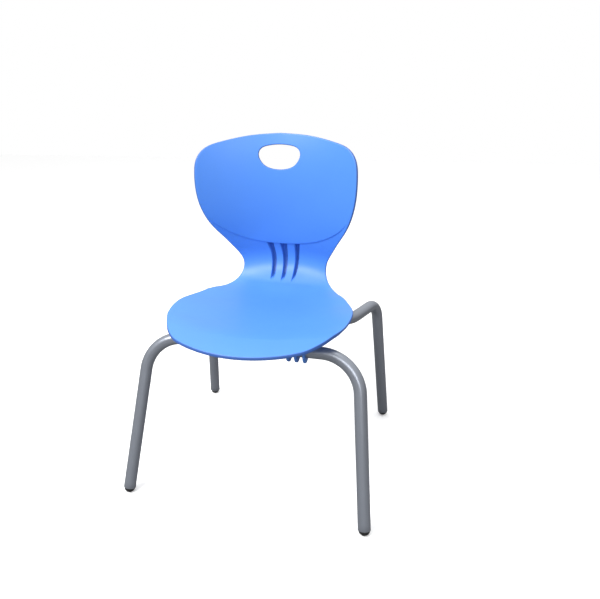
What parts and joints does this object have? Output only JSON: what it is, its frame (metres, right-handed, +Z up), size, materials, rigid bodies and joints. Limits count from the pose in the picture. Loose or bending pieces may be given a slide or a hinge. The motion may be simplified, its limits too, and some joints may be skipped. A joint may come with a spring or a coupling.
{
  "type": "student desk chair",
  "caption": "School chair: one-piece moulded shell with a waisted back, hand hole and three flutes, screwed to two bent round steel tubes that make four splayed legs with domed foot plugs.",
  "frame": {"origin": "on the floor, below the middle of the chair's overall box", "axes": "+X to the sitter's left, +Y from the front to the back, +Z up"},
  "size_m": [0.5274, 0.4939, 0.7185],
  "materials": {
    "shell_plastic": "satin moulded polypropylene, fine grain",
    "frame_paint": "silver-grey powder coat",
    "fastener_steel": "zinc plated",
    "foot_plastic": "black moulded plastic"
  },
  "bodies": {
    "root": {"seat_shell": "shell_plastic", "front_leg_tube": "frame_paint", "rear_leg_tube": "frame_paint", "left_strap": "frame_paint", "right_strap": "frame_paint", "weld_beads": "frame_paint", "shell_screws": "fastener_steel", "screw_washers": "fastener_steel", "front_left_foot_plug": "foot_plastic", "front_right_foot_plug": "foot_plastic", "rear_left_foot_plug": "foot_plastic", "rear_right_foot_plug": "foot_plastic"}
  },
  "joints": []
}
